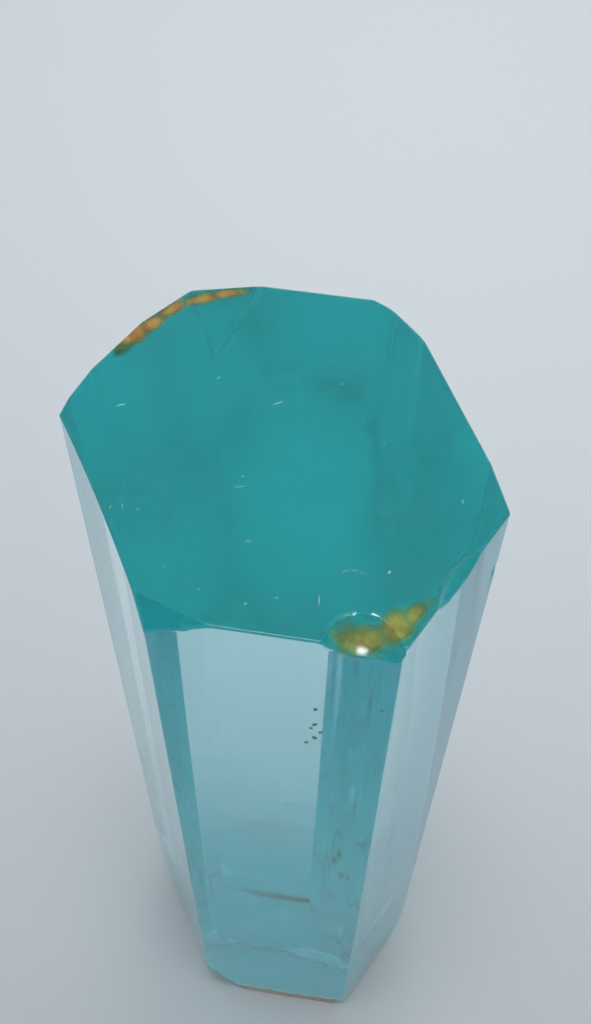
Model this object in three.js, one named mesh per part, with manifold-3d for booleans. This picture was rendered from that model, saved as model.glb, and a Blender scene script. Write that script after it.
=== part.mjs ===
// An aquamarine crystal: one six-sided beryl prism, standing on the broken end it grew from.
// Millimetres, +Z up. The origin is under the middle of the crystal, on the plane it stands on,
// and the front face of the prism looks along -Y.

import * as THREE from 'three';
import { mergeVertices } from 'three/addons/utils/BufferGeometryUtils.js';
import Module from 'manifold-3d';

const wasm = await Module();
wasm.setup();

// Driving dimensions.

const HEIGHT = 113;

// The faces that run the length of the prism, counter-clockwise seen from above.
// azimuth is where the face looks, in degrees from +X; distance is how far it stands off the axis
// at the top. The faces marked rear lean back together, so that the foot is deeper than the top.
const FACES = [
  { name: 'front', azimuth: -90.8, distance: 12.8 },
  { name: 'right', azimuth: -28.2, distance: 14.5 },
  { name: 'right corner', azimuth: 10.8, distance: 14.7 },
  { name: 'right corner, rear', azimuth: 24, distance: 13.24, rear: true },
  { name: 'right back', azimuth: 30.5, distance: 12.68, rear: true },
  { name: 'back right corner', azimuth: 48, distance: 13.6, rear: true },
  { name: 'back right corner, rear', azimuth: 66, distance: 14.26, rear: true },
  { name: 'back', azimuth: 89.8, distance: 13.6, rear: true },
  { name: 'left back', azimuth: 137, distance: 14.63, rear: true },
  { name: 'left back, second', azimuth: 148, distance: 14.52, rear: true },
  { name: 'left back, third', azimuth: 157, distance: 14.83, rear: true },
  { name: 'left corner', azimuth: 165.5, distance: 15.19, rear: true },
  { name: 'left', azimuth: 210.5, distance: 12.67, hollow: 0.22 },
];
const REAR_LEAN = 3;          // how much further back the rear faces stand at the foot
const HOLLOW_STEPS = 12;      // flats that make up a gently hollowed face
const HOLLOW_FULLNESS = 0.8;  // below 1 the hollow falls away quickly beside each edge

// The plan is drawn about the middle of the top face. The leaning rear takes the foot further back
// and a little to the left, so the crystal is moved by this much to stand over its origin.
const ORIGIN_SHIFT = { x: 0.27, y: -1.84 };

// Shell-shaped chips. length runs along the rim, depth into the crystal.
const CHIPS = [
  { name: 'front right dish', x: 6.9, y: -13.3, z: 113.9, length: 5.8, depth: 6, height: 4.6, azimuth: -90 },
  { name: 'front right scoop', x: 8.75, y: -13.1, z: 113.3, length: 2, depth: 1.6, height: 4, azimuth: -90 },
  { name: 'right rim', x: 12.9, y: -7.4, z: 113.3, length: 5.2, depth: 2.3, height: 4, azimuth: -28.2 },
  { name: 'right edge nick', x: 15.6, y: -2.5, z: 105, length: 1.3, depth: 1.1, height: 3.6, azimuth: -8 },
];

// Flats broken off the rim. Each leans in from the vertical by "lean" degrees and cuts the top
// face along the line that azimuth and distance give.
const RIM_BREAKS = [
  { name: 'back left', azimuth: 103, distance: 14.01, lean: 4.2 },
  { name: 'front left', azimuth: -108.7, distance: 12.98, lean: 29.6 },
];

// Corners broken off the foot. Each break is a flat that starts "rise" above the foot on the corner
// edge, looks along azimuth, and leaves the foot "inset" in from the corner.
const FOOT_BREAKS = [
  { name: 'front left', x: -7.0, y: -12.7, azimuth: -120, rise: 9, inset: 2.1 },
  { name: 'front right', x: 9.86, y: -12.94, azimuth: -62, rise: 3.5, inset: 1.0 },
  { name: 'right', x: 15.4, y: -2.4, azimuth: -5, rise: 6, inset: 1.4 },
  { name: 'back right', x: 8.9, y: 12.9, azimuth: 50, rise: 5, inset: 2.2 },
  { name: 'left back', x: -10.4, y: 13.6, azimuth: 135, rise: 7, inset: 2.6 },
  { name: 'left', x: -15.4, y: 1.2, azimuth: 185, rise: 4, inset: 1.2 },
];
const BLOCK_SIDE = 300;       // side of the blocks that cut faces and breaks, larger than the crystal

function directionOf(azimuth) {
  const angle = THREE.MathUtils.degToRad(azimuth);
  return new THREE.Vector2(Math.cos(angle), Math.sin(angle));
}

// How far out a face stands at the foot, where the plan is widest: a step straight back moves a
// face outwards by the share of the step that lies along the way it looks.
function footDistance(face) {
  return face.distance + (face.rear ? REAR_LEAN * directionOf(face.azimuth).y : 0);
}

// The corner that two neighbouring faces share at the foot: the crossing of their lines in plan.
function cornerBetween(face, next) {
  const a = directionOf(face.azimuth);
  const b = directionOf(next.azimuth);
  const cross = a.x * b.y - a.y * b.x;
  return new THREE.Vector2(
    (footDistance(face) * b.y - footDistance(next) * a.y) / cross,
    (footDistance(next) * a.x - footDistance(face) * b.x) / cross,
  );
}

// The plan of the foot. A hollowed face dips between its corners by a flattened half sine wave.
function prismPlan() {
  const count = FACES.length;
  const points = [];
  FACES.forEach((face, index) => {
    const start = cornerBetween(FACES[(index + count - 1) % count], face);
    const end = cornerBetween(face, FACES[(index + 1) % count]);
    const inwards = directionOf(face.azimuth).negate();
    const steps = face.hollow ? HOLLOW_STEPS : 1;
    for (let step = 0; step < steps; step += 1) {
      const along = step / steps;
      const dip = (face.hollow ?? 0) * Math.sin(Math.PI * along) ** HOLLOW_FULLNESS;
      points.push(start.clone().lerp(end, along).addScaledVector(inwards, dip));
    }
  });
  return new THREE.Shape(points);
}

// A three.js geometry as a manifold solid, at the place a matrix gives it.
function solidFrom(geometry, matrix = new THREE.Matrix4()) {
  const placed = geometry.clone().applyMatrix4(matrix);
  placed.deleteAttribute('normal');
  placed.deleteAttribute('uv');
  const merged = mergeVertices(placed, 1e-4);
  return new wasm.Manifold(new wasm.Mesh({
    numProp: 3,
    vertProperties: new Float32Array(merged.attributes.position.array),
    triVerts: new Uint32Array(merged.index.array),
  }));
}

function geometryFrom(solid) {
  const mesh = solid.getMesh();
  const geometry = new THREE.BufferGeometry();
  geometry.setAttribute('position', new THREE.BufferAttribute(mesh.vertProperties, 3));
  geometry.setIndex(new THREE.BufferAttribute(mesh.triVerts, 1));
  geometry.computeVertexNormals();
  return geometry;
}

// A flattened ball: its length runs along the rim, its depth into the crystal.
function chipSolid(chip) {
  const ball = new THREE.SphereGeometry(0.5, 28, 18);
  const matrix = new THREE.Matrix4().compose(
    new THREE.Vector3(chip.x, chip.y, chip.z),
    new THREE.Quaternion().setFromAxisAngle(
      new THREE.Vector3(0, 0, 1),
      THREE.MathUtils.degToRad(chip.azimuth),
    ),
    new THREE.Vector3(chip.depth, chip.length, chip.height),
  );
  return solidFrom(ball, matrix);
}

// A large block whose inner face passes through a point, looks along azimuth, and is turned up
// by tilt degrees. Subtracting it cuts the crystal along that face.
function cuttingBlock(point, azimuth, tilt) {
  const block = new THREE.BoxGeometry(BLOCK_SIDE, BLOCK_SIDE, BLOCK_SIDE);
  block.translate(BLOCK_SIDE / 2, 0, 0);
  block.rotateY(-THREE.MathUtils.degToRad(tilt));
  block.rotateZ(THREE.MathUtils.degToRad(azimuth));
  block.translate(point.x, point.y, point.z);
  return solidFrom(block);
}

// A leaning face passes through its line at the foot and its line at the top.
function leaningFace(face) {
  const foot = directionOf(face.azimuth).multiplyScalar(footDistance(face));
  const tilt = THREE.MathUtils.radToDeg(Math.atan2(footDistance(face) - face.distance, HEIGHT));
  return cuttingBlock(new THREE.Vector3(foot.x, foot.y, 0), face.azimuth, tilt);
}

function rimBreak(flat) {
  const rim = directionOf(flat.azimuth).multiplyScalar(flat.distance);
  return cuttingBlock(new THREE.Vector3(rim.x, rim.y, HEIGHT), flat.azimuth, flat.lean);
}

function footBreak(corner) {
  const outwards = directionOf(corner.azimuth);
  const foot = new THREE.Vector3(
    corner.x - outwards.x * corner.inset,
    corner.y - outwards.y * corner.inset,
    0,
  );
  const tilt = THREE.MathUtils.radToDeg(Math.atan2(corner.inset, corner.rise));
  return cuttingBlock(foot, corner.azimuth, -tilt);
}

function aquamarineCrystal() {
  const prism = new THREE.ExtrudeGeometry(prismPlan(), { depth: HEIGHT, bevelEnabled: false });
  const cuts = [
    ...FACES.filter((face) => face.rear).map(leaningFace),
    ...RIM_BREAKS.map(rimBreak),
    ...FOOT_BREAKS.map(footBreak),
    ...CHIPS.map(chipSolid),
  ];
  const solid = cuts.reduce((rest, cut) => rest.subtract(cut), solidFrom(prism));
  const material = new THREE.MeshStandardMaterial({
    color: '#5fb0bd',
    roughness: 0.05,
    metalness: 0,
  });
  const crystal = new THREE.Mesh(geometryFrom(solid), material);
  crystal.name = 'aquamarine_crystal';
  crystal.position.set(ORIGIN_SHIFT.x, ORIGIN_SHIFT.y, 0);
  return crystal;
}

const group = new THREE.Group();
group.add(aquamarineCrystal());

export default group;
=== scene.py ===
# %% [markdown]
# # An aquamarine crystal
# The piece is one prism of clear beryl that stands on its broken foot. Its looks come from three
# things: light that is bent and totally reflected inside it, a weak colour that deepens with the
# length of the light's path, and small damage, stains and inclusions that catch the light.
# This file makes them in that order. Each cell says what a step is, how it could be made, and why
# it is made this way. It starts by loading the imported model, which fixes where everything is.

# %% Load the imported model
import math

import bpy
import numpy as np
from mathutils import Matrix, Vector


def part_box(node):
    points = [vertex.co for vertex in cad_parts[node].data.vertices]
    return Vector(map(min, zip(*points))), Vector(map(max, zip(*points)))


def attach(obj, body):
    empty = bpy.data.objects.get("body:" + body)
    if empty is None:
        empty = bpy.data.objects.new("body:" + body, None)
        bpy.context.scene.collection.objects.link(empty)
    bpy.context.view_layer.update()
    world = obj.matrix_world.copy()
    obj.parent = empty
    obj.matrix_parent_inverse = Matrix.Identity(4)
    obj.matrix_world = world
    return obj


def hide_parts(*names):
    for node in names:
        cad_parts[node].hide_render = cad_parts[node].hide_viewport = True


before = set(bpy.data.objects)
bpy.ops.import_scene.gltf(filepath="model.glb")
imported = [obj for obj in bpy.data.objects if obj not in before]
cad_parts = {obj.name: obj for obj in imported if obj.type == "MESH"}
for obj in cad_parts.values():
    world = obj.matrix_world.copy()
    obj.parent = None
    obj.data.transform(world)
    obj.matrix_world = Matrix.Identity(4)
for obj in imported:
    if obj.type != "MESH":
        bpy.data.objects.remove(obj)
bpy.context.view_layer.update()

MM = 0.001
foot_corner, top_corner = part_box("aquamarine_crystal")
HEIGHT = (top_corner.z - foot_corner.z) / MM
print("the crystal is", round(HEIGHT, 1), "mm tall")

# %% [markdown]
# ## The plan of the prism
# Beryl grows as a six-sided prism, but a real one has extra narrow faces along its corners, faces
# that lean by a degree, and rounded stretches. The outline could be a list of points, but then an
# edge could not be moved without moving its neighbours. Here each face is a line given by the
# azimuth it looks along and its distance, and the corners are worked out where the lines cross.

# %% The faces, counter-clockwise seen from above
FACES = np.array([
    # azimuth, distance, 1 for a rear face that leans, hollow, rounding of the corner that follows
    [-90.8, 12.8, 0, 0.0, 0.12],
    [-28.2, 14.5, 0, 0.0, 0.12],
    [10.8, 14.7, 0, 0.0, 0.15],
    [24.0, 13.24, 1, 0.0, 0.8],
    [30.5, 12.68, 1, 0.0, 4.0],
    [48.0, 13.6, 1, 0.0, 4.0],
    [66.0, 14.26, 1, 0.0, 0.3],
    [89.8, 13.6, 1, 0.0, 0.12],
    [137.0, 14.63, 1, 0.0, 0.3],
    [148.0, 14.52, 1, 0.0, 0.8],
    [157.0, 14.83, 1, 0.0, 0.8],
    [165.5, 15.19, 1, 0.0, 0.12],
    [210.5, 12.67, 0, 0.22, 0.12],
])
REAR_LEAN = 3.0
HOLLOW_FULLNESS = 0.8
POINT_SPACING = 0.27
CORNER_POINTS = 6


def unit(azimuth):
    """The plan direction at an azimuth in degrees: its cosine and sine."""
    angle = np.radians(azimuth)
    return np.stack([np.cos(angle), np.sin(angle)], axis=-1)


def plan_corners(azimuths, distances):
    """Where each face's line crosses the next one's: n1.p = d1 and n2.p = d2, solved for p."""
    normals = unit(azimuths)
    pairs = np.stack([normals, np.roll(normals, -1, axis=0)], axis=1)
    sides = np.stack([distances, np.roll(distances, -1)], axis=1)
    return np.linalg.solve(pairs, sides[..., None])[..., 0]


corners = plan_corners(FACES[:, 0], FACES[:, 1])
print("the top has", len(corners), "corners, across x", corners[:, 0].min().round(2),
      "to", corners[:, 0].max().round(2))

# %% [markdown]
# ## Where the plan is drawn
# The plan of a prism is easiest to write about the middle of its top face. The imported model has
# its origin under the middle of the whole crystal instead, and the rear faces lean back towards
# the foot, so the two differ by a small step. The front and right edges are upright, so those two
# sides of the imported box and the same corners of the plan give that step.

# %% The step from the plan's axis to the model's origin
AXIS = np.array([top_corner.x / MM - corners[:, 0].max(), foot_corner.y / MM - corners[:, 1].min()])
print("the plan's axis stands at", AXIS.round(2), "mm")

# %% [markdown]
# ## Camera
# The view looks steeply down on the top face from close by, as a phone held over the crystal does,
# so the upright edges run together towards the foot. A camera could be aimed with a Track To
# constraint, but three turns written out are easier to check: turn round the crystal, tip down,
# and roll by a degree.

# %% The camera
VIEW_AZIMUTH = 7.18
VIEW_DOWN = 62.2
VIEW_ROLL = 0.92
EYE = Vector((7.53 + AXIS[0], -52.33 + AXIS[1], 205.5)) * MM

lens = bpy.data.cameras.new("camera")
lens.lens = 56.25
lens.sensor_width = 36.0
lens.clip_start = 0.005
lens.clip_end = 20.0
camera = bpy.data.objects.new("camera", lens)
bpy.context.scene.collection.objects.link(camera)
turn = Matrix.Rotation(math.radians(VIEW_AZIMUTH), 4, "Z")
tip = Matrix.Rotation(math.radians(90 - VIEW_DOWN), 4, "X")
roll = Matrix.Rotation(math.radians(VIEW_ROLL), 4, "Z")
camera.matrix_world = Matrix.Translation(EYE) @ turn @ tip @ roll
bpy.context.scene.camera = camera
print("the camera stands", round(EYE.z / MM), "mm above the floor")

# %% [markdown]
# ## The outline as a dense line
# Each face is a straight run of points, or a gentle hollow, and each corner an arc. The same
# number of points is used at the top and at the foot, so that every upright line of points joins
# the same place on the two outlines.

# %% Outline
TURNS = np.radians(np.diff(np.append(FACES[:, 0], FACES[0, 0] + 360)))
FACE_LENGTHS = np.linalg.norm(corners - np.roll(corners, 1, axis=0), axis=1)
FACE_POINTS = np.maximum(3, np.round(FACE_LENGTHS / POINT_SPACING)).astype(int)


def plan_outline(distances):
    """A closed line round the plan: runs start + t (end - start), less hollow times sin(pi t) to a
    power, joined by arcs of radius r that leave each face r tan(turn / 2) before the corner.
    It also gives the outward direction at each point."""
    ends = plan_corners(FACES[:, 0], distances)
    cut = FACES[:, 4] * np.tan(TURNS / 2)
    points = []
    azimuths = []
    for i, azimuth in enumerate(FACES[:, 0]):
        along = unit(azimuth + 90)
        start = ends[i - 1] + along * cut[i - 1]
        end = ends[i] - along * cut[i]
        t = np.linspace(0, 1, FACE_POINTS[i])
        dip = FACES[i, 3] * np.sin(np.pi * t) ** HOLLOW_FULLNESS
        points.append(start + t[:, None] * (end - start) - dip[:, None] * unit(azimuth))
        azimuths.append(np.full(len(t), azimuth))
        swing = np.linspace(0, np.degrees(TURNS[i]), CORNER_POINTS + 2)[1:-1]
        centre = end - unit(azimuth) * FACES[i, 4]
        points.append(centre + unit(azimuth + swing) * FACES[i, 4])
        azimuths.append(azimuth + swing)
    return np.concatenate(points), unit(np.concatenate(azimuths))


top_line, outward = plan_outline(FACES[:, 1])
foot_line, _ = plan_outline(FACES[:, 1] + REAR_LEAN * FACES[:, 2] * unit(FACES[:, 0])[:, 1])
print("the outline has", len(top_line), "points")

# %% [markdown]
# ## The body as one grid
# The whole skin is one grid of points: rows run round the crystal, and go from the middle of the
# foot outwards, up the sides, over the rim and back to the middle of the top. One grid makes a
# sealed shell by itself, which glass needs, and every later step (chips, breaks, growth lines) is
# then an operation on one array. Rows are close together where there will be detail. The body
# stops 0.02 mm short of the full height, which leaves room for the marks that lie on its top.

# %% Rows from the foot to the top
BODY_TOP = HEIGHT - 0.02
RIM_ROUND = 0.1
RIM_ROWS = 4
FOOT_ROWS = 34
TOP_ROWS = 40
side_heights = np.concatenate([
    np.linspace(0, 7, 30, endpoint=False),
    np.linspace(7, 104, 46, endpoint=False),
    np.linspace(104, BODY_TOP - RIM_ROUND, 34),
])


def row_heights():
    """Heights of the rows: 0 over the foot, the side heights, an arc over the rim, then the top."""
    swing = np.radians(np.linspace(0, 90, RIM_ROWS + 1))[1:]
    rim = BODY_TOP - RIM_ROUND + RIM_ROUND * np.sin(swing)
    return np.concatenate([np.zeros(FOOT_ROWS), side_heights, rim, np.full(TOP_ROWS, BODY_TOP)])


def body_grid():
    """Each point is share * (foot line + (top line - foot line) z / height) less an inset along
    the outward direction, where share falls from 1 to almost 0 over the foot and the top."""
    z = row_heights()
    mix = (z / HEIGHT)[:, None, None]
    plan = foot_line * (1 - mix) + top_line * mix
    swing = np.radians(np.linspace(0, 90, RIM_ROWS + 1))[1:]
    inset = np.zeros(len(z))
    first_rim = FOOT_ROWS + len(side_heights)
    inset[first_rim:first_rim + RIM_ROWS] = RIM_ROUND * (1 - np.cos(swing))
    inset[first_rim + RIM_ROWS:] = RIM_ROUND
    share = np.ones(len(z))
    share[:FOOT_ROWS] = np.linspace(0.004, 1, FOOT_ROWS + 1)[:-1] ** 0.8
    share[first_rim + RIM_ROWS:] = 1 - np.linspace(0, 0.996, TOP_ROWS + 1)[1:] ** 1.25
    plan = (plan - inset[:, None, None] * outward) * share[:, None, None]
    return np.concatenate([plan + AXIS, np.broadcast_to(z[:, None, None], plan[..., :1].shape)],
                          axis=-1)


grid = body_grid()
print("the body is a grid of", grid.shape[0], "rows of", grid.shape[1], "points")

# %% [markdown]
# ## Fine relief
# Prism faces of beryl carry upright growth lines a few thousandths of a millimetre deep. They are
# too fine to see as shapes, but they bend the light, so the clear faces look watery and the view
# down through the top is drawn into soft upright bands. A bump map would not bend light on its way
# out of the glass in the same way, so the points themselves move. The broken foot is rougher: it
# rests on a few high points, with a gap of about a quarter of a millimetre elsewhere.

# %% Growth lines and the rough foot
LINE_DEPTH = 0.0025
STEP_DEPTH = 0.0015
FOOT_GAP = 0.26
FOOT_FEET = [(-6.5, -9.0), (8.0, -9.5), (1.0, 13.5), (-11.0, 1.5), (11.5, 3.0)]
FOOT_REACH = 1.6
draw = np.random.default_rng(11)


def smooth_noise(place, spacing, count=9):
    """A sum of sines: each has a wavelength of 0.6 to 3 times spacing and its own random start."""
    waves = 2 * np.pi / (spacing * draw.uniform(0.6, 3.0, count))
    starts = draw.uniform(0, 2 * np.pi, count)
    return np.sin(place[..., None] * waves + starts).sum(axis=-1) / math.sqrt(count)


def foot_relief(points):
    """The height of the broken foot: crossed sines between 0 and the gap, brought down to 0 at the
    few points it stands on by a rounded pit of radius FOOT_REACH about each."""
    x, y = points[..., 0] - AXIS[0], points[..., 1] - AXIS[1]
    waves = np.sin(1.9 * x + 1.1 * y) * np.sin(1.4 * y - 0.8 * x) + 0.5 * np.sin(3.7 * x - 2.9 * y)
    height = FOOT_GAP * (0.8 + 0.13 * waves)
    for foot in FOOT_FEET:
        near = np.hypot(x - foot[0], y - foot[1]) / FOOT_REACH
        height = height * np.clip(near, 0, 1) ** 1.5
    return height


run = np.cumsum(np.linalg.norm(np.diff(top_line, axis=0, prepend=top_line[-1:]), axis=1))
lines = LINE_DEPTH * smooth_noise(run, 1.1)
steps = STEP_DEPTH * smooth_noise(row_heights(), 2.2) * (row_heights() < 90)
grid[..., :2] -= (np.abs(lines)[None, :, None] + np.abs(steps)[:, None, None]) * outward
print("growth lines up to", (np.abs(lines).max() * 1000).round(1), "thousandths of a millimetre")

# %% [markdown]
# ## Breaks and chips
# Two kinds of damage are cut into the grid. A break is flat: every point beyond its plane is moved
# level onto the plane. A chip in a glassy mineral is a shallow shell: every point inside a
# flattened ball is pushed out along its ray onto the ball's surface. Boolean cuts would give the
# same shapes, but would spoil the even grid that smooth glass needs. Where points moved is kept,
# because broken skin looks different from grown faces.

# %% Flat breaks
MOVED = 0.001
RIM_BREAKS = [
    # azimuth, distance at the rim, lean in from the upright in degrees
    (103.0, 14.01, 4.2),
    (-108.7, 12.98, 29.6),
]
FOOT_BREAKS = [
    # a corner of the foot in plan, the azimuth of the break, its rise and how far it goes in
    (-7.0, -12.7, -120.0, 9.0, 2.1),
    (9.86, -12.94, -62.0, 3.5, 1.0),
    (15.4, -2.4, -5.0, 6.0, 1.4),
    (8.9, 12.9, 50.0, 5.0, 2.2),
    (-10.4, 13.6, 135.0, 7.0, 2.6),
    (-15.4, 1.2, 185.0, 4.0, 1.2),
]


def press_to_plane(points, place, azimuth, tilt):
    """Moves each point p beyond the plane level inwards, by (p - place).n over the level part of
    the normal n, which looks along azimuth and is turned up by tilt degrees."""
    rise = math.radians(tilt)
    normal = np.array([*(unit(azimuth) * math.cos(rise)), math.sin(rise)])
    beyond = np.maximum((points - place) @ normal, 0)
    return points - beyond[..., None] * np.array([*unit(azimuth), 0]) / math.cos(rise)


def cut_rim(points):
    for azimuth, distance, lean in RIM_BREAKS:
        place = np.array([*(unit(azimuth) * distance + AXIS), HEIGHT])
        points = press_to_plane(points, place, azimuth, lean)
    return points


def cut_foot(points):
    for x, y, azimuth, rise, inset in FOOT_BREAKS:
        place = np.array([*(np.array([x, y]) - unit(azimuth) * inset + AXIS), 0.0])
        tilt = -math.degrees(math.atan2(inset, rise))
        points = press_to_plane(points, place, azimuth, tilt)
    return points


def moved(before, after):
    """Which points are further from their old place than a thousandth of a millimetre."""
    return np.linalg.norm(after - before, axis=-1) > MOVED


uncut = grid
grid = cut_foot(uncut)
broken = moved(uncut, grid) | (grid[..., 2] < MOVED)
uncut = grid
grid = cut_rim(uncut)
bevelled = moved(uncut, grid) & (grid[..., 1] < 0)
print("cut", len(RIM_BREAKS), "flats under the rim and", len(FOOT_BREAKS), "at the foot")

# %% Shell-shaped chips
CHIPS = [
    # centre in plan, height, half length along the rim, half depth, half height, azimuth
    (6.9, -13.3, 113.9, 2.9, 3.0, 2.3, -90.0),
    (8.75, -13.1, 113.3, 1.0, 0.8, 2.0, -90.0),
    (12.9, -7.4, 113.3, 2.6, 1.15, 2.0, -28.2),
    (15.6, -2.5, 105.0, 0.65, 0.55, 1.8, -8.0),
    (-4.7, -12.9, 112.2, 0.4, 0.4, 0.55, -90.0),
]


def push_from_ball(points, centre, azimuth, sizes):
    """Inside the ball |q| < 1, with q the turned offset over the sizes, q becomes q / |q|."""
    out = unit(azimuth)
    turned = np.array([[-out[1], out[0], 0], [out[0], out[1], 0], [0, 0, 1.0]])
    q = (points - centre) @ turned.T / sizes
    reach = np.linalg.norm(q, axis=-1, keepdims=True)
    shell = centre + (q / np.maximum(reach, 1e-6) * sizes) @ turned
    return np.where(reach < 1, shell, points)


def chip(points):
    for x, y, z, length, depth, height, azimuth in CHIPS:
        centre = np.array([x + AXIS[0], y + AXIS[1], z])
        points = push_from_ball(points, centre, azimuth, np.array([length, depth, height]))
    return points


uncut = grid
grid = chip(uncut)
chipped = moved(uncut, grid)
grid[..., 2] = np.maximum(grid[..., 2], foot_relief(grid))
print("chipped the rim in", len(CHIPS), "places")

# %% [markdown]
# ## From the grid to a mesh
# Blender wants vertices and faces. The quads are the grid's cells, and a fan of triangles closes
# each pole. Smooth shading lets the small roundings and chips bend light evenly, and edges that
# turn by more than a set angle are marked sharp, so the flat faces stay flat. Two masks are stored
# on the points for the material: where the skin is broken foot, and where it is the top.

# %% Mesh from a grid of rows
SHARP_ANGLE = 32


def new_piece(name, points, faces):
    """A mesh object at the origin from points in millimetres."""
    mesh = bpy.data.meshes.new(name)
    mesh.from_pydata(points * MM, [], faces)
    mesh.update()
    mesh.shade_smooth()
    piece = bpy.data.objects.new(name, mesh)
    bpy.context.scene.collection.objects.link(piece)
    return piece


def ring_cells(count, across):
    """Quads of a grid whose rows close on themselves: cell (i, j) joins its right and upper
    neighbours, with the last point of a row beside the first."""
    first = np.arange(count - 1)[:, None] * across
    here = np.arange(across)[None, :]
    beside = (here + 1) % across
    cells = [first + here, first + beside, first + across + beside, first + across + here]
    return np.stack(cells, axis=-1).reshape(-1, 4)


def pole_fans(count, across):
    """Triangles from the first row to a pole at index count * across, and from the last row to
    the pole after it."""
    pole = np.full(across, count * across)
    ring = np.arange(across)
    after = (ring + 1) % across
    last = (count - 1) * across
    low_fan = np.stack([pole, after, ring], axis=-1)
    high_fan = np.stack([pole + 1, last + ring, last + after], axis=-1)
    return np.concatenate([low_fan, high_fan])


def shell_from_rows(name, rows):
    """A closed shell: the ring cells, and fans about the mean of the first and last rows."""
    poles = np.stack([rows[0].mean(axis=0), rows[-1].mean(axis=0)])
    points = np.concatenate([rows.reshape(-1, 3), poles])
    faces = ring_cells(*rows.shape[:2]).tolist() + pole_fans(*rows.shape[:2]).tolist()
    return new_piece(name, points, faces)


def store_mask(piece, name, values):
    """A number on every point of a piece, for its material."""
    layer = piece.data.attributes.new(name, "FLOAT", "POINT")
    layer.data.foreach_set("value", np.asarray(values, dtype=np.float32))


body = shell_from_rows("aquamarine", grid)
body.data.set_sharp_from_angle(angle=math.radians(SHARP_ANGLE))
top_rows = np.zeros(grid.shape[:2], dtype=bool)
top_rows[-TOP_ROWS - RIM_ROWS:] = True
store_mask(body, "broken", np.append(broken.ravel(), [True, False]))
store_mask(body, "top", np.append((top_rows | chipped | bevelled).ravel(), [False, True]))
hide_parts("aquamarine_crystal")
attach(body, "root")
print("the body has", len(body.data.vertices), "vertices")

# %% [markdown]
# ## Shared effects
# Stains, crust and frosting need the same two masks: a noise pattern cut into patches, and a
# soft spot with a ragged edge. Each is a node group, built once, so that every material can place
# it with its own numbers. A group only gives out masks: the shaders stay in the materials.

# %% Helpers for node trees
def link(tree, source, target):
    tree.links.new(source, target)


def add_node(tree, kind, **settings):
    """A node with its plain settings; names that are sockets set the socket's value."""
    node = tree.nodes.new(kind)
    for name, value in settings.items():
        if hasattr(node, name):
            setattr(node, name, value)
        else:
            node.inputs[name.replace("_", " ")].default_value = value
    return node


def maths(tree, operation, first, second=0.0, clamp=False):
    """One Math node: each side is a number or a socket."""
    node = add_node(tree, "ShaderNodeMath", operation=operation, use_clamp=clamp)
    for socket, value in zip(node.inputs, (first, second)):
        if isinstance(value, (int, float)):
            socket.default_value = value
        else:
            link(tree, value, socket)
    return node.outputs[0]


def new_group(name, inputs, output="Mask"):
    """An empty node group with named inputs (name, socket type, start value) and one output."""
    group = bpy.data.node_groups.new(name, "ShaderNodeTree")
    for label, kind, value in inputs:
        socket = group.interface.new_socket(label, in_out="INPUT", socket_type=kind)
        socket.default_value = value
    group.interface.new_socket(output, in_out="OUTPUT", socket_type="NodeSocketFloat")
    return group, group.nodes.new("NodeGroupInput"), group.nodes.new("NodeGroupOutput")


# %% The two mask groups
NUMBER = "NodeSocketFloat"
PLACE = "NodeSocketVector"


def build_patches():
    """Noise of a given size, cut between two levels into soft patches from 0 to 1."""
    group, given, result = new_group("patches", [
        ("Place", PLACE, (0, 0, 0)), ("Size", NUMBER, 500.0),
        ("Low", NUMBER, 0.45), ("High", NUMBER, 0.6)])
    noise = add_node(group, "ShaderNodeTexNoise", Detail=4.0, Roughness=0.6)
    link(group, given.outputs["Place"], noise.inputs["Vector"])
    link(group, given.outputs["Size"], noise.inputs["Scale"])
    level = add_node(group, "ShaderNodeMapRange", interpolation_type="SMOOTHSTEP")
    link(group, noise.outputs["Fac"], level.inputs["Value"])
    link(group, given.outputs["Low"], level.inputs["From Min"])
    link(group, given.outputs["High"], level.inputs["From Max"])
    link(group, level.outputs["Result"], result.inputs["Mask"])
    return group


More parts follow.
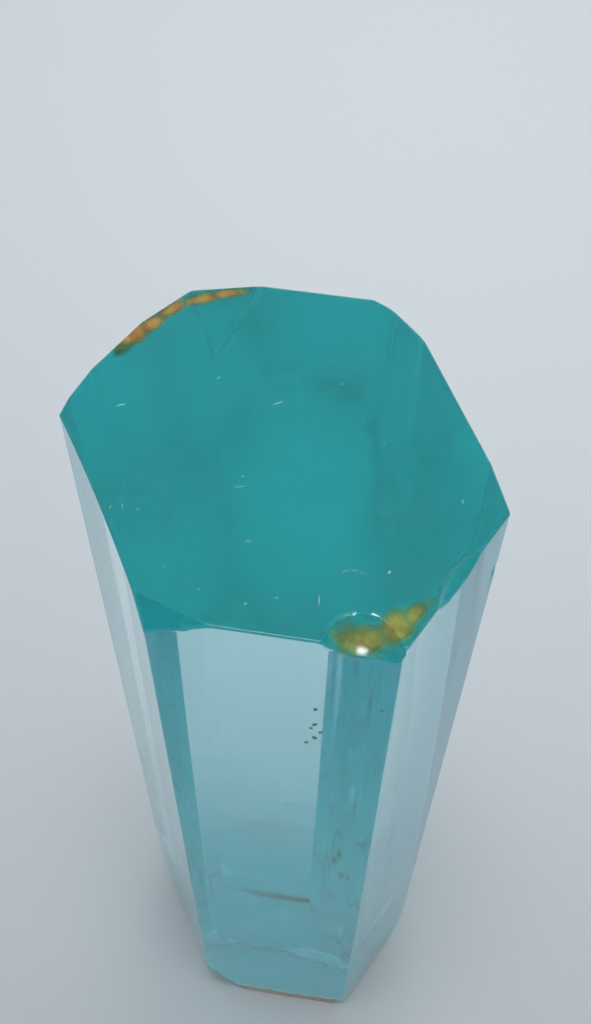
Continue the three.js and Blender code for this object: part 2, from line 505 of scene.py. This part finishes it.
def build_soft_spot():
    """1 inside a turned ellipsoid, falling to 0 across its edge, with the edge moved by noise:
    smoothstep of (1 + ragged * (noise - 0.5) - |offset / sizes|) over the softness."""
    group, given, result = new_group("soft_spot", [
        ("Place", PLACE, (0, 0, 0)), ("Centre", PLACE, (0, 0, 0)), ("Turn", PLACE, (0, 0, 0)),
        ("Sizes", PLACE, (1, 1, 1)), ("Softness", NUMBER, 0.4), ("Ragged", NUMBER, 0.5),
        ("Ragged Size", NUMBER, 900.0)])
    offset = add_node(group, "ShaderNodeVectorMath", operation="SUBTRACT")
    link(group, given.outputs["Place"], offset.inputs[0])
    link(group, given.outputs["Centre"], offset.inputs[1])
    turned = add_node(group, "ShaderNodeVectorRotate", rotation_type="EULER_XYZ", invert=True)
    link(group, offset.outputs[0], turned.inputs["Vector"])
    link(group, given.outputs["Turn"], turned.inputs["Rotation"])
    share = add_node(group, "ShaderNodeVectorMath", operation="DIVIDE")
    link(group, turned.outputs[0], share.inputs[0])
    link(group, given.outputs["Sizes"], share.inputs[1])
    reach = add_node(group, "ShaderNodeVectorMath", operation="LENGTH")
    link(group, share.outputs[0], reach.inputs[0])
    noise = add_node(group, "ShaderNodeTexNoise", Detail=3.0)
    link(group, given.outputs["Place"], noise.inputs["Vector"])
    link(group, given.outputs["Ragged Size"], noise.inputs["Scale"])
    wander = maths(group, "MULTIPLY", maths(group, "SUBTRACT", noise.outputs["Fac"], 0.5),
                   given.outputs["Ragged"])
    inside = maths(group, "SUBTRACT", maths(group, "ADD", wander, 1.0), reach.outputs["Value"])
    soft = add_node(group, "ShaderNodeMapRange", interpolation_type="SMOOTHSTEP")
    link(group, inside, soft.inputs["Value"])
    soft.inputs["From Min"].default_value = 0.0
    link(group, given.outputs["Softness"], soft.inputs["From Max"])
    link(group, soft.outputs["Result"], result.inputs["Mask"])
    return group


patches = build_patches()
soft_spot = build_soft_spot()
print("built the groups", patches.name, "and", soft_spot.name)

# %% [markdown]
# ## Small tools for materials
# Every material here is put together from the same few parts: a shared group at the point's own
# place, a colour mixed by a mask, and a smooth rise or fall along one axis of the crystal. All
# places are Object coordinates, which is the crystal's own frame in metres.

# %% Helpers for materials
def place_group(tree, group, place, **values):
    """A node for a shared group, fed with a place, with its other inputs set."""
    node = add_node(tree, "ShaderNodeGroup", node_tree=group)
    link(tree, place, node.inputs["Place"])
    for name, value in values.items():
        node.inputs[name.replace("_", " ")].default_value = value
    return node.outputs["Mask"]


def blend(tree, share, first, second):
    """A colour mixed from first to second by a mask; each is a colour or a socket."""
    node = add_node(tree, "ShaderNodeMix", data_type="RGBA")
    link(tree, share, node.inputs["Factor"])
    for socket, value in ((node.inputs["A"], first), (node.inputs["B"], second)):
        if isinstance(value, tuple):
            socket.default_value = value
        else:
            link(tree, value, socket)
    return node.outputs["Result"]


def new_material(name, roughness=0.5):
    material = bpy.data.materials.new(name)
    material.use_nodes = True
    shader = material.node_tree.nodes["Principled BSDF"]
    shader.inputs["Roughness"].default_value = roughness
    return material, material.node_tree, shader


def plain_material(name, colour, roughness, alpha=1.0):
    """One colour all over."""
    material, _, shader = new_material(name, roughness)
    shader.inputs["Base Color"].default_value = colour
    shader.inputs["Alpha"].default_value = alpha
    return material


def own_place(tree):
    """The point's place on its piece, and the same split into X, Y and Z."""
    place = add_node(tree, "ShaderNodeTexCoord").outputs["Object"]
    parts = add_node(tree, "ShaderNodeSeparateXYZ")
    link(tree, place, parts.inputs[0])
    return place, parts.outputs


def rising(tree, source, start, end):
    """A smooth rise from 0 at start to 1 at end, both in millimetres."""
    node = add_node(tree, "ShaderNodeMapRange", interpolation_type="SMOOTHSTEP")
    link(tree, source, node.inputs["Value"])
    node.inputs["From Min"].default_value = start * MM
    node.inputs["From Max"].default_value = end * MM
    return node.outputs["Result"]


def falling(tree, source, start, end):
    """1 less the smooth rise."""
    return maths(tree, "SUBTRACT", 1.0, rising(tree, source, start, end))


print("the helpers take places in millimetres and give masks from 0 to 1")

# %% [markdown]
# ## Where the stains are
# A stain is told twice: the rust itself, and the painted shade of the top, which gives way over it.
# So its spots are written down once, in plan, and both materials make their mask from them.

# %% Spots of the stains
RUST_SPOTS = [
    # x, y in plan, half length, half width, turn in degrees
    (-11.8, 8.1, 2.1, 1.0, 42.0),
    (-10.5, 9.3, 1.2, 0.85, 55.0),
    (-9.3, 10.8, 1.6, 0.7, 45.0),
    (-7.6, 11.8, 1.9, 0.7, 25.0),
    (-5.7, 12.6, 1.7, 0.5, 18.0),
]
OLIVE_SPOTS = [
    (7.2, -11.9, 2.9, 1.35, 5.0),
    (8.8, -11.2, 1.8, 1.5, 45.0),
    (10.0, -10.0, 1.7, 0.8, 50.0),
]
RUST_DEPTH = 4.5
OLIVE_DEPTH = 3.5
RAGGED = {"Softness": 0.8, "Ragged": 0.8, "Ragged_Size": 600.0}


def spots_mask(tree, place, spots, depth):
    """The largest of several soft spots that reach depth millimetres down from the top."""
    mask = None
    for x, y, length, width, turn in spots:
        centre = ((x + AXIS[0]) * MM, (y + AXIS[1]) * MM, HEIGHT * MM)
        spot = place_group(tree, soft_spot, place, Centre=centre, Turn=(0, 0, math.radians(turn)),
                           Sizes=(length * MM, width * MM, depth * MM), **RAGGED)
        mask = spot if mask is None else maths(tree, "MAXIMUM", mask, spot)
    return mask


print("rust in", len(RUST_SPOTS), "spots and olive in", len(OLIVE_SPOTS))

# %% [markdown]
# ## The crystal's material
# Clear beryl bends light with an index of about 1.575. Its colour is not on its surface: it comes
# from light being taken up along its path, so the thin way through two side faces is pale and the
# long way down through the top is deep blue-green. That is a volume with plain absorption: so much
# of red, green and blue per metre. The surface also carries tints: it is deeper in colour lower
# down, and painted shade darkens the right side and the back of the foot, and gives the top face
# a deeper blue-green. Roughness tells polished growth faces from the frosted, broken foot.

# %% Glass with colour in its depth
TAKEN_PER_METRE = np.array([14.0, 1.2, 0.4])
DENSITY = 40.0
# painted shade: the top face is tinted a deep blue-green, for the dark colour seen down through it
TOP_SHADE_TINT = (0.002, 1.0, 0.84, 1)
# deeper blue-green lower down on the crystal
LOWER_TINT = (0.12, 0.68, 0.84, 1)
# painted shade: the right side is darkened, for the shaded floor beside the foot that it mirrors
RIGHT_SHADE_TINT = (0.16, 0.48, 0.56, 1)
# painted shade: the back of the foot is darkened
REAR_SHADE_TINT = (0.04, 0.5, 0.62, 1)
EDGE_TINT = (0.8, 0.92, 0.92, 1)
FOOT_TINT = (0.36, 0.86, 0.8, 1)
EDGE_HEIGHTS = (1.5, 4.5)
LOWER_HEIGHTS = (24.0, 74.0)
RIGHT_SIDE = (9.0, 13.0)
BACK_SIDE = (8.0, 10.0)
BACK_HEIGHTS = (6.2, 7.6)
POLISH = 0.03
FROST = 0.06
TOP_ROUGH = 0.14
FOOT_ROUGH = 0.6


def crystal_colour(tree, place, parts, at_top, at_foot):
    """Tints laid over one another: deeper low down, painted shade at the right and at the back of
    the foot, clear edge by the floor, broken foot, and painted shade on the top where unstained."""
    back = maths(tree, "MULTIPLY", rising(tree, parts["Y"], *BACK_SIDE),
                 falling(tree, parts["Z"], *BACK_HEIGHTS))
    # deeper in colour lower down
    colour = blend(tree, falling(tree, parts["Z"], *LOWER_HEIGHTS), (1, 1, 1, 1), LOWER_TINT)
    # painted shade on the right side
    colour = blend(tree, rising(tree, parts["X"], *RIGHT_SIDE), colour, RIGHT_SHADE_TINT)
    # painted shade at the back of the foot
    colour = blend(tree, back, colour, REAR_SHADE_TINT)
    colour = blend(tree, falling(tree, parts["Z"], *EDGE_HEIGHTS), colour, EDGE_TINT)
    colour = blend(tree, at_foot, colour, FOOT_TINT)
    stained = maths(tree, "MAXIMUM", spots_mask(tree, place, RUST_SPOTS, RUST_DEPTH),
                    spots_mask(tree, place, OLIVE_SPOTS, OLIVE_DEPTH))
    # painted shade on the top face, left off where it is stained
    clean_top = maths(tree, "MULTIPLY", at_top, maths(tree, "SUBTRACT", 1.0, stained))
    return blend(tree, clean_top, colour, TOP_SHADE_TINT)


def crystal_roughness(tree, place, at_top, at_foot):
    """Polish plus shares for light frosting in patches, for the top and for the broken foot."""
    frost = place_group(tree, patches, place, Size=260.0, Low=0.4, High=0.75)
    rough = maths(tree, "ADD", POLISH, maths(tree, "MULTIPLY", frost, FROST))
    rough = maths(tree, "ADD", rough, maths(tree, "MULTIPLY", at_top, TOP_ROUGH))
    return maths(tree, "ADD", rough, maths(tree, "MULTIPLY", at_foot, FOOT_ROUGH), clamp=True)


def crystal_material():
    material, tree, shader = new_material("aquamarine")
    shader.inputs["IOR"].default_value = 1.575
    shader.inputs["Transmission Weight"].default_value = 1.0
    depth = add_node(tree, "ShaderNodeVolumeAbsorption")
    depth.inputs["Color"].default_value = (*(1 - TAKEN_PER_METRE / DENSITY), 1)
    depth.inputs["Density"].default_value = DENSITY
    link(tree, depth.outputs[0], tree.nodes["Material Output"].inputs["Volume"])
    place, parts = own_place(tree)
    at_top = add_node(tree, "ShaderNodeAttribute", attribute_name="top").outputs["Fac"]
    at_foot = add_node(tree, "ShaderNodeAttribute", attribute_name="broken").outputs["Fac"]
    colour = crystal_colour(tree, place, parts, at_top, at_foot)
    link(tree, colour, shader.inputs["Base Color"])
    rough = crystal_roughness(tree, place, at_top, at_foot)
    link(tree, rough, shader.inputs["Roughness"])
    return material


body.data.materials.append(crystal_material())
print("the crystal takes", TAKEN_PER_METRE, "of red, green and blue per metre")

# %% [markdown]
# ## Rust under the skin
# Iron in old water has left films of orange and olive rust in the damage of the rim. Painting
# them into the crystal's colour would not do: clear glass has no surface colour, it only filters
# what lies behind it. So each film is a thin closed
# sheet a few hundredths of a millimetre inside the glass. It is made from the crystal's own grid
# points, moved in along their normals, so it follows every face, chip and break.

# %% Sheets that follow the skin
FILM_DEPTH = 0.03
FILM_THICKNESS = 0.03


def point_normals(piece):
    normals = np.empty(len(piece.data.vertices) * 3, dtype=np.float32)
    piece.data.vertex_normals.foreach_get("vector", normals)
    return normals.reshape(-1, 3)


def film(name, wanted):
    """A closed sheet under the cells whose four corners are wanted: the same cells at two depths,
    and a wall of quads along every edge that only one cell uses."""
    cells = ring_cells(*grid.shape[:2])
    cells = cells[wanted.ravel()[cells].all(axis=1)]
    used, cells = np.unique(cells, return_inverse=True)
    cells = cells.reshape(-1, 4)
    normals = point_normals(body)[used]
    outer = grid.reshape(-1, 3)[used] - normals * FILM_DEPTH
    count = len(used)
    edges = np.stack([cells, np.roll(cells, -1, axis=1)], axis=-1).reshape(-1, 2)
    keys = edges[:, 0] * count + edges[:, 1]
    border = edges[~np.isin(edges[:, 1] * count + edges[:, 0], keys)]
    walls = np.stack([border[:, 1], border[:, 0], border[:, 0] + count, border[:, 1] + count], -1)
    points = np.concatenate([outer, outer - normals * FILM_THICKNESS])
    points[:, 2] = np.minimum(points[:, 2], BODY_TOP - FILM_DEPTH)
    faces = np.concatenate([cells, cells[:, ::-1] + count, walls])
    piece = new_piece(name, points, faces.tolist())
    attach(piece, "root")
    print(name, "is a sheet of", len(cells), "cells")
    return piece


def spot_reach(points, spots):
    """The smallest |offset / sizes| of each point to any spot, level distances only."""
    reach = np.full(points.shape[:-1], np.inf)
    for x, y, length, width, turn in spots:
        offset = points[..., :2] - AXIS - np.array([x, y])
        along = offset @ unit(turn) / length
        across = offset @ unit(turn + 90) / width
        reach = np.minimum(reach, np.hypot(along, across))
    return reach


# %% The look of a film
def patchy(tree, place, parts):
    """Patches about a millimetre across."""
    return place_group(tree, patches, place, Size=1100.0, Low=0.42, High=0.62)


def film_material(name, colour, deep_colour, mask_of, shade_of=patchy):
    """A dull film between two colours, as solid as its mask says."""
    material, tree, shader = new_material(name, roughness=0.8)
    place, parts = own_place(tree)
    shade = shade_of(tree, place, parts)
    link(tree, blend(tree, shade, colour, deep_colour), shader.inputs["Base Color"])
    link(tree, mask_of(tree, place, parts), shader.inputs["Alpha"])
    return material


# %% Rust in the rim
FILM_REACH = 1.7


def rust_mask(tree, place, parts):
    return spots_mask(tree, place, RUST_SPOTS, RUST_DEPTH)


def olive_mask(tree, place, parts):
    return spots_mask(tree, place, OLIVE_SPOTS, OLIVE_DEPTH)


near_top = grid[..., 2] > HEIGHT - RUST_DEPTH
rust = film("rust_film", near_top & (spot_reach(grid, RUST_SPOTS) < FILM_REACH))
rust.data.materials.append(film_material(
    "rust", (0.72, 0.50, 0.12, 1), (0.62, 0.30, 0.05, 1), rust_mask))
olive = film("olive_film", near_top & (spot_reach(grid, OLIVE_SPOTS) < FILM_REACH))
olive.data.materials.append(film_material(
    "olive", (0.62, 0.66, 0.16, 1), (0.50, 0.46, 0.08, 1), olive_mask))

# %% [markdown]
# ## The crust of the foot
# The foot broke out of its rock, and a pale crust of it is left. It does more than close the foot
# off: all the light that comes back up through the top face is light that this crust scatters.
# Along the front it is rust-coloured: rust, and painted warm contact shadow where the foot meets
# the floor, in a strip so narrow that it hardly shows in the reflections inside.

# %% The crust
CRUST_TOP = 1.5
CRUST_FADE = 1.6
RUST_AND_SHADE_FRONT = (-14.75, -14.25)


def crust_mask(tree, place, parts):
    """Solid over the foot, thinning out over CRUST_FADE from a ragged line that is up to
    CRUST_TOP above it."""
    ragged = place_group(tree, patches, place, Size=420.0, Low=0.3, High=0.7)
    line = maths(tree, "MULTIPLY", ragged, CRUST_TOP * MM)
    return falling(tree, maths(tree, "SUBTRACT", parts["Z"], line), 0.0, CRUST_FADE)


def rust_and_warm_shade_edge(tree, place, parts):
    """1 at the front edge of the foot, falling to 0 behind it: rust and painted warm shadow."""
    return falling(tree, parts["Y"], *RUST_AND_SHADE_FRONT)


crust = film("foot_crust", grid[..., 2] < CRUST_TOP + CRUST_FADE)
# the crust's deep colour along the front edge: rust, and painted warm contact shadow
crust.data.materials.append(film_material(
    "crust", (0.94, 0.97, 0.96, 1), (0.85, 0.34, 0.12, 1), crust_mask, rust_and_warm_shade_edge))

# %% [markdown]
# ## Small marks
# Two kinds of small marks are left. Pale flecks lie on the top face: scratches and splinters about
# half a millimetre long. Dark specks sit just under the side faces: pits and mineral grains, with
# a few longer streaks. Each is a tiny flattened ball, stretched along its own direction. All the
# flecks are one mesh and all the specks another, because they never move apart.

# %% Flattened balls
FLECKS = [
    # x, y in plan, length, width, turn in degrees
    (-11.4, 2.5, 0.65, 0.07, 22), (-0.9, 4.15, 0.75, 0.09, 27), (3.2, 6.3, 0.12, 0.1, 0),
    (-2.4, -1.8, 0.15, 0.13, 0), (-2.5, -2.6, 0.75, 0.06, 15), (-9.85, -5.1, 0.45, 0.07, 104),
    (-8.8, -5.2, 0.2, 0.1, 90), (-10.6, -5.3, 0.3, 0.06, 80), (-1.3, -6.47, 0.42, 0.09, 8),
    (5.2, -7.72, 0.5, 0.07, 25), (5.8, -7.6, 0.5, 0.07, 2), (6.3, -7.7, 0.4, 0.06, -20),
    (8.0, -7.4, 0.28, 0.18, 60), (-0.8, -10.9, 0.2, 0.14, 0), (1.1, -10.2, 0.25, 0.12, 20),
    (3.8, -10.0, 0.8, 0.1, 96), (-3.9, -10.3, 0.2, 0.12, 0), (12.2, -1.6, 0.35, 0.07, 100),
    (-5.2, 5.6, 0.3, 0.05, 35), (6.6, 2.1, 0.25, 0.05, 70), (-6.4, -9.1, 0.3, 0.06, 60),
]
SPECKS = [
    # azimuth and distance of the face, place along it, height, length, width, turn in degrees
    (-90.8, 12.8, 4.35, 101.1, 0.6, 0.3, 80), (-90.8, 12.8, 4.34, 98.1, 0.7, 0.32, 70),
    (-90.8, 12.8, 4.1, 97.3, 0.5, 0.3, 90), (-90.8, 12.8, 4.8, 96.7, 0.6, 0.32, 60),
    (-90.8, 12.8, 4.4, 95.4, 0.7, 0.4, 100), (-90.8, 12.8, 3.8, 94.2, 0.6, 0.3, 70),
    (-90.8, 12.8, 2.6, 78.9, 1.0, 0.12, 22), (-90.8, 12.8, 8.9, 102.7, 0.6, 0.22, 60),
    (-90.8, 12.8, 9.0, 93.4, 0.7, 0.1, 80), (-90.8, 12.8, -6.1, 97.75, 0.95, 0.14, 6),
    (-90.8, 12.8, 1.4, 84.0, 0.5, 0.08, 40), (-90.8, 12.8, -2.2, 74.5, 0.9, 0.08, 8),
    (-90.8, 12.8, 0.6, 70.8, 1.2, 0.09, 4), (-90.8, 12.8, -3.4, 68.0, 0.8, 0.1, -10),
    (210.5, 12.42, -2.2, 67.8, 4.1, 0.12, 23), (210.5, 12.42, 3.1, 53.7, 4.5, 0.14, 51),
]
BALL_STEPS = (6, 10)
FLECK_DEPTH = 0.018
SPECK_DEPTH = 0.02
SPECK_UNDER = 0.05


def flat_balls(name, centres, along, across, normal, lengths, widths, thickness):
    """Each ball is centre + a cos(u) cos(v) along + b cos(u) sin(v) across + c sin(u) normal, and
    every ball has the same grid of angles u and v, with a point at each pole."""
    rows, turns = BALL_STEPS
    u = np.radians(np.linspace(-90, 90, rows + 1))[1:-1, None]
    v = np.radians(np.linspace(0, 360, turns, endpoint=False))[None, :]
    shape = np.stack([np.cos(u) * np.cos(v), np.cos(u) * np.sin(v), np.sin(u) + 0 * v], axis=-1)
    shape = np.concatenate([shape.reshape(-1, 3), [[0, 0, -1], [0, 0, 1]]])
    halves = np.stack([lengths / 2, widths / 2, np.full(len(lengths), thickness / 2)], axis=-1)
    axes = np.stack([along, across, normal], axis=1)
    points = centres[:, None] + (shape * halves[:, None]) @ axes
    shift = len(shape) * np.arange(len(centres))[:, None, None]
    quads = (ring_cells(rows - 1, turns) + shift).reshape(-1, 4)
    fans = (pole_fans(rows - 1, turns) + shift).reshape(-1, 3)
    piece = new_piece(name, points.reshape(-1, 3), quads.tolist() + fans.tolist())
    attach(piece, "root")
    print(name, "has", len(centres), "marks")
    return piece


# %% Flecks on the top
flecks = np.array(FLECKS, dtype=float)
upright = np.broadcast_to([0.0, 0.0, 1.0], (len(flecks), 3))
level = np.zeros((len(flecks), 1))
along = np.hstack([unit(flecks[:, 4]), level])
middle = (HEIGHT + BODY_TOP) / 2
centres = np.column_stack([flecks[:, :2] + AXIS, np.full(len(flecks), middle)])
white = flat_balls("flecks", centres, along, np.cross(upright, along), upright,
                   flecks[:, 2], flecks[:, 3], FLECK_DEPTH)
white.data.materials.append(plain_material("fleck", (0.42, 0.72, 0.72, 1), 0.5, 0.45))

# %% Specks under the sides
specks = np.array(SPECKS, dtype=float)
outwards = np.column_stack([unit(specks[:, 0]), np.zeros(len(specks))])
side = np.column_stack([unit(specks[:, 0] + 90), np.zeros(len(specks))])
turn = np.radians(specks[:, 6])[:, None]
along = side * np.cos(turn) + np.array([0, 0, 1.0]) * np.sin(turn)
centres = outwards * (specks[:, 1:2] - SPECK_UNDER) + side * specks[:, 2:3]
centres += np.array([*AXIS, 0])
centres[:, 2] = specks[:, 3]
dark = flat_balls("specks", centres, along, np.cross(outwards, along), outwards,
                  specks[:, 4], specks[:, 5], SPECK_DEPTH)
dark.data.materials.append(plain_material("speck", (0.02, 0.10, 0.13, 1), 0.6, 0.65))

# %% [markdown]
# ## The floor, the light and the finish
# The crystal stands on a plain pale floor. The light is soft: an even surround, a broad panel low
# behind the crystal, which leaves the floor in front of it in a gentle shade, and a narrow beam
# from overhead that falls on the floor behind it. No panel shines where the top face would mirror
# it to the camera, so the top keeps its depth of colour. Clear glass needs many bounces, because
# light is reflected inside it again and again before it leaves.

# %% Floor
FLOOR_RADIUS = 3000.0


def disc(name, radius, points=96):
    """A flat round sheet at height 0: radius times the cosine and sine of each angle."""
    ring = unit(np.linspace(0, 360, points, endpoint=False)) * radius
    return new_piece(name, np.column_stack([ring, np.zeros(points)]), [list(range(points))])


floor = disc("floor", FLOOR_RADIUS)
floor.data.materials.append(plain_material("floor", (0.50, 0.54, 0.58, 1), 0.7))
print("the floor reaches", FLOOR_RADIUS / 1000, "m out")

# %% Light
SURROUND = 0.47
surround = bpy.data.worlds.new("surround")
surround.use_nodes = True
surround.node_tree.nodes["Background"].inputs["Color"].default_value = (0.96, 0.98, 1.0, 1)
surround.node_tree.nodes["Background"].inputs["Strength"].default_value = SURROUND
bpy.context.scene.world = surround


def panel(name, place, aim, size, power, spread=180):
    """A soft rectangular light that looks from its place at its aim, both in metres; spread is
    the full angle of its beam in degrees, as if through a honeycomb."""
    light = bpy.data.lights.new(name, "AREA")
    light.shape = "RECTANGLE"
    light.size, light.size_y = size
    light.energy = power
    light.spread = math.radians(spread)
    lamp = bpy.data.objects.new(name, light)
    bpy.context.scene.collection.objects.link(lamp)
    look = (Vector(aim) - Vector(place)).to_track_quat("-Z", "Y")
    lamp.matrix_world = Matrix.Translation(Vector(place)) @ look.to_matrix().to_4x4()


panel("back_panel", (0.02, 0.5, 0.36), (0, 0.03, 0), (0.6, 0.3), 1.0)
panel("over_panel", (0.0, 0.0, 0.85), (0.005, 0.12, 0), (0.3, 0.2), 0.19, 32)

scene = bpy.context.scene
scene.view_settings.view_transform = "Standard"
scene.cycles.max_bounces = 32
scene.cycles.glossy_bounces = 24
scene.cycles.transmission_bounces = 24
scene.cycles.diffuse_bounces = 6
